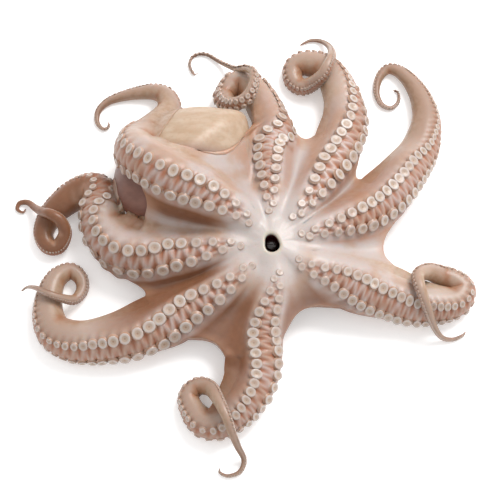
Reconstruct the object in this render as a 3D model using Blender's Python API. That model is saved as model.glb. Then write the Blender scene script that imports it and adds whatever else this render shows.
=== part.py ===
"""A whole raw octopus, laid on its back with the mouth side up.

The flesh is one piece: eight arms that run out from the crown round the mouth, the web between
them, and the head with its mantle sac underneath. The two jaws of the beak are set in the mouth.

Lengths are written in millimetres and turned into metres where they are first used. Routes are
counted from the point on the table under the mouth; the origin moves to the middle of the
model's base at the end.
"""

import math

import bmesh
import bpy
import numpy as np
from mathutils import Matrix, Vector

MM = 0.001

# ---------------------------------------------------------------- driving dimensions
CROWN_RADIUS = 22 * MM  # from the mouth's axis to where the arms begin
ROOM_SHARE = 0.46  # an arm's half width there, as a share of the way to its neighbour's middle
TIGHTEST_BEND = 0.9  # how much of the way to a bend's centre the skin may reach
FREE_BEND = 0.6  # how much of it before the skin is held back
TIP_BLUNTNESS = 20  # a high number keeps an arm thick until close to its end
CROWN_FLATNESS = 0.6  # how far the arms flatten and run together at the mouth
CROWN_REACH = 65 * MM  # how far out they are flattened
MOUTH_RADIUS = 8.3 * MM
MOUTH_HEIGHT = 58 * MM
MOUTH_DEPTH = 15 * MM
LIP_ROLL = 2 * MM  # how far the lip dips towards the hole

STEP_AT_CROWN = 10 * MM  # between cross-sections where the web is attached
STEP_SHARE = 0.6  # further out, a step is this share of the arm's half width
SHORTEST_STEP = 5.8 * MM

WEB_ANGLE = 78  # degrees from upright at which the web leaves an arm's side
LEAST_WEB_ANGLE, MOST_WEB_ANGLE = 50, 125  # the same, from the direction of the suckers
WEB_THICKNESS_ANGLE = 18  # degrees of that side that the web's edge takes up
WEB_COLUMNS = 2
WEB_SAG = 0.25  # how far the free edge sinks between two arms, as a share of its height
WEB_SLACK = 1 * MM  # how far the web bulges out by the crown
RIDGE_SHARE = 0.11  # the height of a ridge along an arm, as a share of its length
SUCKER_STATIONS = range(2, 13)  # the cross-sections between which the large suckers stand
SUCKER_RISE = 3.2 * MM
SUCKER_INSET_SHARE = 0.17

SAC_HEAD_END = (22, -14)
SAC_FAR_END = (-140, 143)
SAC_FLATNESS = 0.48  # height over width
# The head and mantle's shift to its left and half width, by the share of the way from the head's end.
SAC_OUTLINE = [(0, 0, 0), (0.05, 0, 20), (0.17, 0, 34), (0.34, 0, 43), (0.5, -3, 59), (0.6, -4, 71), (0.68, -3, 80),
               (0.76, 1, 77), (0.84, 2, 67), (0.92, 2, 50), (0.97, 1, 30), (1, 0, 0)]
SAC_BROADEST = 0.7  # the share of its length at which the sac's height is taken
SAC_RINGS = 14
SAC_SIDES = 16
WEB_OVER_SAC = 4 * MM  # how far the web's upper side lies above the sac

BEAK_RADIUS = 6.6 * MM
BEAK_HEIGHT = 9 * MM
BEAK_OFF_FLOOR = 3.5 * MM  # from the floor of the mouth
BEAK_GAP = 0.6 * MM
BEAK_TILT = 14  # degrees that the beak leans away from upright

# Each arm, in order round the mouth, anticlockwise from above.
#   route      the centreline's points, (x, y, z)
#   roll       how far the sucker side is turned from straight up, towards the arm's left,
#              as (share of the length, degrees)
#   girth      half the thickest width
#   waist      the share of the length where the arm is half as thick
#   sharpness  how suddenly it thins there
#   web        how many steps out the web to the next arm reaches, how far its edge is drawn in,
#              and for how many millimetres it runs on as a ridge along this arm and the next
ARMS = {
    "two": dict(
        route=[(20, 9, 50), (47, 19, 46), (75, 33, 37), (102, 50, 28), (125, 73, 22), (144, 101, 18),
               (159, 128, 15), (167, 158, 13), (164, 184, 11), (155, 206, 9), (142, 222, 8),
               (129, 227, 6), (119, 216, 5), (116, 199, 4), (121, 185, 4), (131, 181, 3),
               (139, 189, 2.5), (139, 200, 2.5), (133, 203, 2)],
        roll=[(0, -20), (0.06, -26), (0.12, -32), (0.2, -36), (0.32, -38), (0.42, -43), (0.48, -62),
              (0.56, -78), (0.7, -88), (1, -95)],
        girth=23.5, waist=0.64, sharpness=6, web=(11, 0.25, 80, 10)),
    "one": dict(
        route=[(15, 22, 50), (29, 43, 47), (48, 72, 38), (65, 102, 28), (75, 129, 22), (80, 158, 19),
               (77, 186, 17), (69, 211, 14), (56, 227, 11), (38, 232, 10), (26, 226, 9), (25, 213, 9),
               (33, 203, 11), (44, 202, 18), (55, 205, 32), (61, 214, 38), (66, 230, 33),
               (65, 250, 15), (57, 263, 4), (45, 265, 2.5), (33, 259, 2)],
        roll=[(0, -18), (0.06, -22), (0.14, -15), (0.2, -11), (0.28, -24), (0.34, -42), (0.45, -68),
              (0.6, -90), (0.75, -80), (0.85, -60), (1, -80)],
        girth=23.5, waist=0.63, sharpness=5, web=(12, 0.2, 70, 40)),
    "twelve": dict(
        route=[(0, 26, 50), (0, 46, 48), (0, 77, 42), (-1, 113, 34), (4, 139, 28), (-2, 161, 22),
               (-11, 182, 17), (-20, 199, 14), (-32, 207, 12), (-43, 202, 12), (-50, 188, 15),
               (-44, 174, 25), (-33, 169, 38), (-23, 175, 46), (-18, 189, 48), (-19, 202, 45),
               (-27, 212, 34), (-38, 220, 19), (-54, 235, 6), (-71, 247, 3), (-84, 245, 2.5),
               (-88, 234, 2.5), (-83, 223, 2), (-78, 226, 2)],
        roll=[(0, 3), (0.05, 7), (0.11, 12), (0.16, 10), (0.22, 2), (0.26, -45), (0.3, -80),
              (0.38, -98), (0.46, -90), (0.53, -62), (0.6, -45), (0.66, -62), (0.74, -80), (1, -90)],
        girth=21.5, waist=0.53, sharpness=5, web=(12, 0.2, 10, 50)),
    "ten": dict(
        route=[(-15, 19, 52), (-32, 32, 56), (-53, 44, 63), (-76, 55, 72), (-101, 65, 78),
               (-120, 78, 77), (-136, 94, 67), (-140, 111, 52), (-130, 129, 38), (-117, 149, 28),
               (-109, 170, 18), (-113, 189, 12), (-125, 197, 9), (-142, 197, 7), (-160, 194, 5),
               (-176, 188, 4), (-186, 177, 3.5), (-187, 164, 3), (-181, 156, 2.5), (-175, 158, 2.5),
               (-175, 165, 2)],
        roll=[(0, 8), (0.06, 13), (0.14, 21), (0.22, 37), (0.33, 48), (0.4, 60), (0.5, 100),
              (0.58, 180), (0.66, 250), (1, 270)],
        girth=24, waist=0.67, sharpness=6, web=(12, 0.14, 20, 90)),
    "nine": dict(
        route=[(-21, 1, 50), (-42, 1, 46), (-68, -1, 40), (-95, -4, 34), (-125, -3, 30), (-152, 6, 28),
               (-171, 27, 26), (-177, 49, 24), (-178, 67, 22), (-188, 77, 18), (-204, 73, 14),
               (-219, 62, 12), (-231, 49, 10), (-237, 31, 9), (-231, 17, 9), (-220, 16, 11),
               (-213, 27, 19), (-217, 37, 28), (-227, 43, 31), (-237, 49, 23), (-247, 59, 11),
               (-256, 68, 4), (-265, 68, 2.5), (-267, 61, 2), (-261, 57.5, 2), (-258, 62, 2)],
        roll=[(0, 6), (0.05, 11), (0.1, 18), (0.18, 24), (0.25, 48), (0.32, 63), (0.37, 60),
              (0.41, 45), (0.45, 0), (0.5, -65), (0.56, -105), (0.7, -95), (1, -90)],
        girth=25.5, waist=0.62, sharpness=4.5, web=(12, 0.25, 60, 80)),
    "seven": dict(
        route=[(-16, -13, 50), (-32, -28, 45), (-54, -43, 36), (-80, -57, 27), (-109, -71, 22),
               (-140, -84, 20), (-172, -89, 17), (-199, -88, 14), (-219, -78, 12), (-227, -60, 11),
               (-227, -39, 10), (-221, -20, 9), (-207, -11, 8), (-196, -19, 8), (-194, -32, 9),
               (-201, -44, 14), (-214, -46, 26), (-226, -43, 31), (-239, -35, 24), (-250, -29, 10),
               (-258, -31, 2)],
        roll=[(0, 15), (0.08, 20), (0.18, 18), (0.22, 24), (0.28, 44), (0.35, 56), (0.43, 60),
              (0.52, 76), (0.62, 88), (1, 95)],
        girth=24, waist=0.66, sharpness=6, web=(10, 0.25, 50, 125)),
    "six": dict(
        route=[(2, -19, 50), (2, -36, 44), (-4, -60, 34), (-10, -86, 25), (-12, -113, 21),
               (-18, -137, 18), (-33, -158, 16), (-50, -172, 14), (-67, -173, 13), (-79, -159, 11),
               (-83, -144, 10), (-73, -135, 12), (-61, -140, 20), (-53, -156, 37), (-45, -174, 43),
               (-40, -187, 35), (-34, -198, 19), (-28, -208, 6), (-32, -219, 3), (-43, -223, 2.5),
               (-51, -220, 2.5), (-52, -215, 2)],
        roll=[(0, 14), (0.08, 14), (0.14, 6), (0.2, 10), (0.28, 30), (0.34, 40), (0.4, 52), (0.47, 74),
              (0.6, 88), (1, 95)],
        girth=23, waist=0.55, sharpness=4, web=(7, 0.3, 10, 45)),
    "four": dict(
        route=[(18, -9, 50), (38, -18, 44), (64, -27, 34), (91, -36, 26), (118, -44, 22),
               (143, -50, 18), (169, -50, 15), (188, -45, 13), (195, -32, 12), (186, -23, 13),
               (173, -19, 16), (159, -19, 27), (147, -28, 41), (147, -42, 49), (151, -55, 47),
               (156, -65, 38), (163, -75, 21), (172, -82, 7), (183, -83, 2.5), (193, -79, 2.5),
               (198, -74, 2)],
        roll=[(0, -34), (0.08, -28), (0.14, -22), (0.2, -28), (0.26, -38), (0.35, -50), (0.5, -70),
              (0.62, -90), (1, -95)],
        girth=26, waist=0.54, sharpness=4, web=(11, 0.27, 80, 40)),
}


# ---------------------------------------------------------------- smooth lines
def smooth_line(points, cuts=10):
    """A Catmull-Rom curve through the points, as an array of close points along it."""
    p = np.array(points, float)
    p = np.vstack([2 * p[0] - p[1], p, 2 * p[-1] - p[-2]])
    t = np.arange(cuts)[:, None] / cuts
    spans = []
    for a, b, c, d in zip(p, p[1:], p[2:], p[3:]):
        spans.append(0.5 * (2 * b + (c - a) * t + (2 * a - 5 * b + 4 * c - d) * t**2 + (3 * b - a - 3 * c + d) * t**3))
    return np.vstack([*spans, p[-2:-1]])


def ease(t):
    """0 to 1 with soft ends."""
    t = min(max(t, 0.0), 1.0)
    return t * t * (3 - 2 * t)


def sac_outline(share):
    """The sac's shift to its left and its half width, at a share of its length."""
    outline = smooth_line(SAC_OUTLINE)
    return [float(np.interp(share, outline[:, 0], outline[:, column])) * MM for column in (1, 2)]


def sac_middle(half):
    """The height of the sac's widest line, which sinks a little where the sac is slim."""
    return SAC_FLATNESS * (0.75 * half + 0.25 * sac_outline(SAC_BROADEST)[1])


def sac_top(x, y):
    """The height of the sac's upper side over a point of the table, or 0 beside it."""
    start, end = Vector(SAC_HEAD_END) * MM, Vector(SAC_FAR_END) * MM
    along = (end - start).normalized()
    offset = Vector((x, y)) - start
    share = offset.dot(along) / (end - start).length
    if not 0 < share < 1:
        return 0.0
    shift, half = sac_outline(share)
    across = offset.y * along.x - offset.x * along.y - shift
    if abs(across) >= half:
        return 0.0
    return sac_middle(half) + SAC_FLATNESS * math.sqrt(half**2 - across**2)


# ---------------------------------------------------------------- arms
class Arm:
    """One arm's centreline, thickness and roll, by the distance s from the crown."""

    def __init__(self, facts, behind, ahead):
        self.lines = [smooth_line(arm["route"]) * MM for arm in (facts, behind, ahead)]
        self.distances = [
            np.concatenate([[0], np.cumsum(np.linalg.norm(np.diff(line, axis=0), axis=1))]) for line in self.lines]
        self.length = float(self.distances[0][-1])
        self.roll_at, self.roll = zip(*facts["roll"])
        self.girth, self.waist, self.sharpness = facts["girth"] * MM, facts["waist"], facts["sharpness"]
        self.web, self.web_bow, left_ridge, _ = facts["web"]
        self.ridges = {1: (self.web, left_ridge), -1: (behind["web"][0], behind["web"][3])}
        self.stations = self.place_stations()

    def point(self, s, line=0):
        """A point of the centreline, or of that of the arm behind (1) or ahead (2)."""
        return Vector([float(np.interp(s, self.distances[line], self.lines[line][:, i])) for i in range(3)])

    def thickness(self, s):
        """Half the arm's width: its own, or what room its neighbours leave it at the crown."""
        out = s / self.length
        free = self.girth / (1 + (out / self.waist) ** self.sharpness) * math.sqrt(max(1 - out**TIP_BLUNTNESS, 0.001))
        room = ROOM_SHARE * min((self.point(s) - self.point(s, line)).length for line in (1, 2))
        return (free**-4 + room**-4) ** -0.25

    def place_stations(self):
        """The distances of the cross-sections, closer together where the arm is thin."""
        found, s = [], 0.0
        while s < self.length - SHORTEST_STEP:
            found.append(s)
            in_web = len(found) <= SUCKER_STATIONS.stop
            s += STEP_AT_CROWN if in_web else max(STEP_SHARE * self.thickness(s), SHORTEST_STEP)
        return found + [self.length]

    def rolled(self, s):
        return float(np.interp(s / self.length, self.roll_at, self.roll))

    def frame(self, s):
        """The centre, the direction of the suckers and the direction to their left."""
        reach = 2 * MM
        centre = self.point(s)
        ahead = (self.point(s + reach) - self.point(s - reach)).normalized()
        left = Vector((0, 0, 1)).cross(ahead).normalized()
        up = ahead.cross(left)
        turn = math.radians(self.rolled(s))
        suckers = up * math.cos(turn) + left * math.sin(turn)
        return centre, suckers, left * math.cos(turn) - up * math.sin(turn)

    def ridge(self, s, side):
        """How far the web stands out from a side of the arm, where it runs on as a ridge."""
        steps, length = self.ridges[side]
        end = steps * STEP_AT_CROWN
        return RIDGE_SHARE * length * MM * ease(s / end) * ease((end + length * MM - s) / (length * MM))

    def skin_point(self, s, corner):
        """The skin at a corner of the cross-section, counted from the sucker side to the left."""
        side = 1 if corner > 0 else -1
        centre, suckers, left = self.frame(s)
        round_radius = self.thickness(s)
        radius = round_radius + (self.ridge(s, side) if abs(corner) in (2, 3) else 0)
        turn = math.radians(self.corner_angle(s, corner, side))
        offset = self.folded(s, radius * (suckers * math.cos(turn) + left * math.sin(turn)))
        flatness = CROWN_FLATNESS * (1 - ease(s / CROWN_REACH))
        offset.z += flatness * (0.8 * round_radius - offset.z)
        return rest_on_what_is_below(centre + offset)

    def corner_angle(self, s, corner, side):
        """The angle of a cross-section's corner, in degrees from the sucker side.

        Corners 2 and -2 carry the web's upper side and corners 3 and -3 its underside. The web
        leaves each side where that side is nearly upright.
        """
        upper = min(max(WEB_ANGLE - side * self.rolled(s), LEAST_WEB_ANGLE), MOST_WEB_ANGLE)
        upper = LEAST_WEB_ANGLE + (upper - LEAST_WEB_ANGLE) * ease(s / CROWN_REACH)
        reach = self.ridges[side][0] * STEP_AT_CROWN
        lower = upper + WEB_THICKNESS_ANGLE + 25 * ease((s - reach) / (60 * MM))
        return math.copysign((0, upper / 2, upper, lower, 180)[abs(corner)], corner)

    def folded(self, s, offset):
        """Keeps the inner side of a tight bend from passing through itself."""
        reach = 5 * MM
        if not reach < s < self.length - reach:
            return offset
        bend = (self.point(s - reach) + self.point(s + reach) - 2 * self.point(s)) / reach**2
        inward = offset.dot(bend)
        if inward > FREE_BEND:
            spare = TIGHTEST_BEND - FREE_BEND
            kept = FREE_BEND + spare * math.tanh((inward - FREE_BEND) / spare)
            offset -= bend * ((inward - kept) / bend.length_squared)
        return offset


def rest_on_what_is_below(point):
    """Soft flesh flattens where it meets the table, and where it lies over the sac."""
    top = sac_top(point.x, point.y)
    if top:
        lift = max(top - WEB_OVER_SAC / 2 - point.z, 0)
        point.z += lift * ease((point.z / top - 0.3) / 0.35)
    point.z = max(point.z, 0.0)
    return point


def extruded(bm, row, closed):
    """Extrudes the row's edges, and gives the new row in the same order."""
    pairs = zip(row, row[1:] + row[:1]) if closed else zip(row, row[1:])
    edges = [bm.edges.get(pair) for pair in pairs]
    made = bmesh.ops.extrude_edge_only(bm, edges=edges)
    new = {v for v in made["geom"] if isinstance(v, bmesh.types.BMVert)}
    return [next(e.other_vert(v) for e in v.link_edges if e.other_vert(v) in new) for v in row]


def arm_tube(bm, arm):
    """The arm as a tube of eight-cornered rings, closed at its tip: a list of rings, each by corner."""
    corners = [0, 1, 2, 3, 4, -3, -2, -1]
    ring = bmesh.ops.create_circle(bm, segments=len(corners), radius=1)["verts"]
    rings = [ring]
    for _ in arm.stations[1:]:
        rings.append(extruded(bm, rings[-1], closed=True))
    placed = []
    for s, ring in zip(arm.stations, rings):
        placed.append(dict(zip(corners, ring)))
        for corner, vert in placed[-1].items():
            vert.co = arm.skin_point(s, corner)
    bmesh.ops.pointmerge(bm, verts=rings[-1], merge_co=arm.point(arm.length))
    return placed[:-1]


def raise_suckers(bm, rings):
    """A low stud on each face beside the arm's middle line, where the large suckers stand."""
    for near, far in zip(rings[SUCKER_STATIONS.start:], rings[SUCKER_STATIONS.start + 1:SUCKER_STATIONS.stop]):
        for a, b in ((0, 1), (-1, 0)):
            corner = {near[a], near[b], far[a], far[b]}
            face = next(f for f in near[a].link_faces if set(f.verts) == corner)
            size = math.sqrt(face.calc_area())
            bmesh.ops.inset_individual(bm, faces=[face], thickness=SUCKER_INSET_SHARE * size, depth=SUCKER_RISE)


# ---------------------------------------------------------------- web and crown
def web_side(bm, rings, others, mine, theirs, arm, drop):
    """One side of the web: columns of vertices from an arm to the next, the last welded to it."""
    columns = [[ring[mine] for ring in rings[:arm.web + 1]]]
    goal = [ring[theirs] for ring in others[:arm.web + 1]]
    for column in range(1, WEB_COLUMNS + 1):
        share = column / WEB_COLUMNS
        row = extruded(bm, columns[-1], closed=False)
        for step, (vert, start, end) in enumerate(zip(row, columns[0], goal)):
            vert.co = web_point(start.co, end.co, share, step / arm.web, arm.web_bow, drop)
        columns.append(row)
    bmesh.ops.weld_verts(bm, targetmap=dict(zip(columns[-1], goal)))
    columns[-1] = goal
    return columns


def web_point(start, end, share, out, bow, drop):
    """A point of the web: drawn in towards the mouth at its free edge, and lying on what is below."""
    point = start.lerp(end, share)
    belly = 4 * share * (1 - share)
    inward = -Vector((point.x, point.y, 0)).normalized()
    point += inward * belly * (out * bow * (end - start).length - WEB_SLACK)
    point.z -= belly * WEB_SAG * out * point.z
    top = sac_top(point.x, point.y)
    if top:
        point.z = max(point.z, top + WEB_OVER_SAC - drop)
    return point


def open_side(bm, rings, upper, lower, reach):
    """Takes away the strip of an arm's skin that the web covers."""
    strip = []
    for near, far in zip(rings[:reach], rings[1:reach + 1]):
        corner = {near[upper], near[lower], far[upper], far[lower]}
        strip += [f for f in near[upper].link_faces if set(f.verts) == corner]
    bmesh.ops.delete(bm, geom=strip, context="FACES")


def join_web(bm, rings, others, arm):
    """The web from one arm's left side to the next arm's right side: its two rows at the crown."""
    open_side(bm, rings, 2, 3, arm.web)
    open_side(bm, others, -2, -3, arm.web)
    upper = web_side(bm, rings, others, 2, -2, arm, drop=0)
    lower = web_side(bm, rings, others, 3, -3, arm, drop=WEB_OVER_SAC * 1.5)
    for a, b, c, d in zip(upper, upper[1:], lower, lower[1:]):
        bm.faces.new((a[-1], b[-1], d[-1], c[-1]))
    return [column[0] for column in upper[1:-1]], [column[0] for column in lower[1:-1]]


def close_crown(bm, loop, rims):
    """Narrows a loop of the crown through circles of (radius, height), and closes it."""
    first = [v.co.copy() for v in loop]
    for share, radius, height in rims:
        loop = extruded(bm, loop, closed=True)
        for vert, start in zip(loop, first):
            flat = Vector((start.x, start.y, 0)).normalized() * radius
            rim = Vector((flat.x, flat.y, height))
            vert.co = start.lerp(rim, share)
    bmesh.ops.pointmerge(bm, verts=loop, merge_co=Vector((0, 0, rims[-1][2])))


def crown_and_arms():
    bm = bmesh.new()
    facts = list(ARMS.values())
    arms = [Arm(*three) for three in zip(facts, facts[-1:] + facts[:-1], facts[1:] + facts[:1])]
    tubes = [arm_tube(bm, arm) for arm in arms]
    tops, bottoms = [], []
    for arm, rings, others in zip(arms, tubes, tubes[1:] + tubes[:1]):
        upper, lower = join_web(bm, rings, others, arm)
        tops += [rings[0][corner] for corner in (-2, -1, 0, 1, 2)] + upper
        bottoms += [rings[0][corner] for corner in (-3, 4, 3)] + lower
    lip = MOUTH_HEIGHT - LIP_ROLL
    close_crown(bm, tops, [
        (0.4, MOUTH_RADIUS, MOUTH_HEIGHT),
        (0.85, MOUTH_RADIUS, MOUTH_HEIGHT),
        (1, MOUTH_RADIUS, lip),
        (1, MOUTH_RADIUS, MOUTH_HEIGHT - MOUTH_DEPTH),
        (1, MOUTH_RADIUS / 3, MOUTH_HEIGHT - MOUTH_DEPTH)])
    under = 30 * MM
    close_crown(bm, bottoms, [(0.6, CROWN_RADIUS / 2, under), (1, CROWN_RADIUS / 3, under)])
    for rings in tubes:
        raise_suckers(bm, rings)
    bmesh.ops.recalc_face_normals(bm, faces=bm.faces)
    return finished("octopus", bm)


# ---------------------------------------------------------------- head and mantle
def head_and_mantle():
    """A flattened sac from under the mouth to the mantle's far end, flat where it lies."""
    start, end = Vector((*SAC_HEAD_END, 0)) * MM, Vector((*SAC_FAR_END, 0)) * MM
    along = (end - start).normalized()
    side = Vector((-along.y, along.x, 0))
    bm = bmesh.new()
    rings = [bmesh.ops.create_circle(bm, segments=SAC_SIDES, radius=1)["verts"]]
    while len(rings) < SAC_RINGS:
        rings.append(extruded(bm, rings[-1], closed=True))
    for number, ring in enumerate(rings):
        share = 0.5 - 0.5 * math.cos(math.pi * (number + 0.5) / SAC_RINGS)
        shift, half = sac_outline(share)
        centre = start.lerp(end, share) + side * shift + Vector((0, 0, sac_middle(half)))
        for corner, vert in enumerate(ring):
            turn = 2 * math.pi * corner / SAC_SIDES
            vert.co = centre + side * half * math.cos(turn)
            vert.co.z += SAC_FLATNESS * half * math.sin(turn)
            if vert.co.z < SAC_FLATNESS * half / 4:
                vert.co.z = 0
    for ring in (rings[0], rings[-1]):
        bmesh.ops.poke(bm, faces=bmesh.ops.contextual_create(bm, geom=ring)["faces"])
    bmesh.ops.recalc_face_normals(bm, faces=bm.faces)
    return finished("head_and_mantle", bm)


# ---------------------------------------------------------------- beak
def jaw(name, side):
    """Half of a blunt cone that hooks over at its point, cut clear of the other half."""
    bm = bmesh.new()
    bmesh.ops.create_uvsphere(bm, u_segments=14, v_segments=8, radius=1)
    for vert in bm.verts:
        height = vert.co.z
        vert.co.x *= BEAK_RADIUS
        vert.co.y *= BEAK_RADIUS * (0.9 if side > 0 else 0.8)
        vert.co.z *= BEAK_HEIGHT / 2
        vert.co.y -= side * max(height, 0) ** 2 * BEAK_RADIUS / 3
    wall = Vector((0, side * BEAK_GAP / 2, 0))
    cut = bmesh.ops.bisect_plane(
        bm, geom=bm.verts[:] + bm.edges[:] + bm.faces[:], plane_co=wall, plane_no=(0, -side, 0), clear_outer=True)
    rim = [edge for edge in cut["geom_cut"] if isinstance(edge, bmesh.types.BMEdge)]
    bmesh.ops.contextual_create(bm, geom=rim)
    bmesh.ops.recalc_face_normals(bm, faces=bm.faces)
    seat = MOUTH_HEIGHT - MOUTH_DEPTH + BEAK_OFF_FLOOR + BEAK_HEIGHT / 2
    bm.transform(Matrix.Translation((0, 0, seat)) @ Matrix.Rotation(math.radians(BEAK_TILT), 4, "Y"))
    return finished(name, bm)


# ---------------------------------------------------------------- objects
def material(name, colour, roughness):
    made = bpy.data.materials.new(name)
    made.use_nodes = True
    shader = made.node_tree.nodes["Principled BSDF"]
    shader.inputs["Base Color"].default_value = (*colour, 1)
    shader.inputs["Roughness"].default_value = roughness
    return made


def finished(name, bm):
    mesh = bpy.data.meshes.new(name)
    bm.to_mesh(mesh)
    bm.free()
    mesh.shade_smooth()
    return bpy.data.objects.new(name, mesh)


def main():
    for obj in list(bpy.data.objects):
        bpy.data.objects.remove(obj)
    parts = bpy.data.collections.new("whole_octopus")
    cutters = bpy.data.collections.new("joined_pieces")
    for collection in (parts, cutters):
        bpy.context.scene.collection.children.link(collection)

    flesh, sac = crown_and_arms(), head_and_mantle()
    jaws = [jaw("beak_upper", 1), jaw("beak_lower", -1)]
    corners = [v.co for piece in (flesh, sac) for v in piece.data.vertices]
    middle = Vector([(min(c[i] for c in corners) + max(c[i] for c in corners)) / 2 for i in (0, 1)] + [0])
    for piece in (flesh, sac, *jaws):
        piece.data.transform(Matrix.Translation(-middle))
    for piece in (flesh, *jaws):
        parts.objects.link(piece)
    cutters.objects.link(sac)
    sac.hide_render = True
    sac.display_type = "WIRE"
    join = flesh.modifiers.new("head_and_mantle", "BOOLEAN")
    join.operation = "UNION"
    join.object = sac

    flesh.data.materials.append(material("flesh", (0.80, 0.60, 0.47), 0.35))
    horn = material("beak_horn", (0.03, 0.02, 0.02), 0.25)
    for piece in jaws:
        piece.data.materials.append(horn)


main()
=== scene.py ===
"""A whole raw octopus on its back, laid out on a white table with its mouth up and its arms spread."""

import math

import bmesh
import bpy
import numpy as np
from mathutils import Matrix, Vector, noise


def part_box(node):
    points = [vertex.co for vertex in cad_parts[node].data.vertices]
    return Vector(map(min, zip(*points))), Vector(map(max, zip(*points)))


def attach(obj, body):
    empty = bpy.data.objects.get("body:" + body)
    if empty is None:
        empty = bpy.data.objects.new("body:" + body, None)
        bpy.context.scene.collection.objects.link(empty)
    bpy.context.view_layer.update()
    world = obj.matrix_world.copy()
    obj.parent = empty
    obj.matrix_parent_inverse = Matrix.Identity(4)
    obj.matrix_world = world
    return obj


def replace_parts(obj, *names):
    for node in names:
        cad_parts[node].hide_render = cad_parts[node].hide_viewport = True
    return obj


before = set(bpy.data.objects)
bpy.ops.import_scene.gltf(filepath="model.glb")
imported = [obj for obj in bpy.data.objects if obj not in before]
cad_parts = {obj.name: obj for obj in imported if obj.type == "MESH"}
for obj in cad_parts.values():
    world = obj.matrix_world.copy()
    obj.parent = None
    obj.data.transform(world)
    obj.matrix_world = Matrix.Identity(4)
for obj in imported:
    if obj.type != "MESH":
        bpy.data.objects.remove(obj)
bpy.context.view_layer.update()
MM = 0.001
jaws = [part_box("beak_upper"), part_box("beak_lower")]
MOUTH = Vector([(min(low[i] for low, high in jaws) + max(high[i] for low, high in jaws)) / 2 for i in (0, 1)] + [0])

# ---------------------------------------------------------------- mantle sac
# The head and the mantle, a soft bag of thin muscle that lies under the arms with its far end
# showing. It is pale where its skin faces up, and liver brown on its slack flank under arm ten:
# that brown is partly the skin's own and partly painted shade. All lengths below are from the
# table under the mouth.
SAC_HEAD_END = (22, -14)
SAC_FAR_END = (-140, 143)
SAC_FLATNESS = 0.48
#   outline: (share of the length, sideways shift, half width)
SAC_OUTLINE = [(0, 0, 0), (0.05, 0, 20), (0.17, 0, 34), (0.34, 0, 43), (0.5, -3, 60), (0.6, -4, 72), (0.68, -4, 81),
               (0.76, 1, 77), (0.84, 3, 67), (0.92, 3, 50), (0.97, 1, 30), (1, 0, 0)]
SAC_BROAD_AT = 0.7  # the share of the length where the sac is broad
SAC_LUMP_SIZE, SAC_LUMP_HEIGHT = 38 * MM, 2.2 * MM
SAC_GIVE = 3 * MM  # how much the slack bag flattens on the table
SAC_RINGS = 72
SAC_SIDES = 80
SHADED_FLANK_FROM, SHADED_FLANK_TO = 108 * MM, 88 * MM  # how far back the flank's own brown and painted shade begin and are full


def smooth_line(points, cuts=16):
    """A Catmull-Rom curve through the points, as an array of close points along it."""
    p = np.array(points, float)
    p = np.vstack([2 * p[0] - p[1], p, 2 * p[-1] - p[-2]])
    t = np.arange(cuts)[:, None] / cuts
    spans = []
    for a, b, c, d in zip(p, p[1:], p[2:], p[3:]):
        spans.append(0.5 * (2 * b + (c - a) * t + (2 * a - 5 * b + 4 * c - d) * t**2 + (3 * b - a - 3 * c + d) * t**3))
    return np.vstack([*spans, p[-2:-1]])


def ease(t):
    """0 to 1 with soft ends."""
    t = np.clip(t, 0, 1)
    return t * t * (3 - 2 * t)


def resting(height, give):
    """Heights kept above the table: soft flesh flattens where it meets it."""
    return (height + np.sqrt(height**2 + give**2)) / 2 - give / 8


sac_outline = smooth_line(SAC_OUTLINE) * (1, MM, MM)
sac_start, sac_end = np.array(SAC_HEAD_END) * MM, np.array(SAC_FAR_END) * MM
sac_length = np.linalg.norm(sac_end - sac_start)
sac_along = (sac_end - sac_start) / sac_length
sac_side = np.array([-sac_along[1], sac_along[0]])


def sac_shift(share):
    return np.interp(share, sac_outline[:, 0], sac_outline[:, 1])


def sac_half_width(share):
    return np.interp(share, sac_outline[:, 0], sac_outline[:, 2])


def sac_middle(half):
    """The height of the sac's widest line, which sinks a little where the sac is slim."""
    return SAC_FLATNESS * (0.75 * half + 0.25 * sac_half_width(SAC_BROAD_AT))


def sac_top(points):
    """The height of the sac's upper side over points of the table, and 0 beside it."""
    offset = points[..., :2] - sac_start
    share = offset @ sac_along / sac_length
    half = sac_half_width(share)
    room = half**2 - (offset @ sac_side - sac_shift(share)) ** 2
    return np.where((room > 0) & (half > 1 * MM), sac_middle(half) + SAC_FLATNESS * np.sqrt(np.maximum(room, 0)), 0)


def closed_tube(bm, sides, rings):
    """A tube of so many sides and rings: its rings, each a list of corners in order."""
    grid = bmesh.ops.create_grid(bm, x_segments=sides, y_segments=rings - 1, size=1)["verts"]
    rows = [grid[row * (sides + 1):(row + 1) * (sides + 1)] for row in range(rings)]
    bmesh.ops.weld_verts(bm, targetmap={row[-1]: row[0] for row in rows})
    return [row[:-1] for row in rows]


def finished(name, bm, material):
    """The bmesh as a piece of the animal, in the frame's place and riding on its one body."""
    bmesh.ops.recalc_face_normals(bm, faces=bm.faces)
    bm.transform(Matrix.Translation(MOUTH))
    mesh = bpy.data.meshes.new(name)
    bm.to_mesh(mesh)
    bm.free()
    mesh.shade_smooth()
    mesh.materials.append(material)
    piece = bpy.data.objects.new(name, mesh)
    bpy.context.scene.collection.objects.link(piece)
    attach(piece, "root")
    return piece


class Value:
    """A socket of a material's nodes. Sums written with it add the Math nodes that work them out."""

    def __init__(self, look, socket):
        self.look, self.socket = look, socket

    def __add__(self, other):
        return self.look.node("ShaderNodeMath", self, other, operation="ADD")

    def __rsub__(self, other):
        return self.look.node("ShaderNodeMath", other, self, operation="SUBTRACT")

    def __mul__(self, other):
        return self.look.node("ShaderNodeMath", self, other, operation="MULTIPLY")

    __radd__, __rmul__ = __add__, __mul__

    def between(self, low, high):
        """0 below low, 1 above high and smooth in between."""
        return self.look.node("ShaderNodeMapRange", self, low, high, interpolation_type="SMOOTHSTEP")


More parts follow.
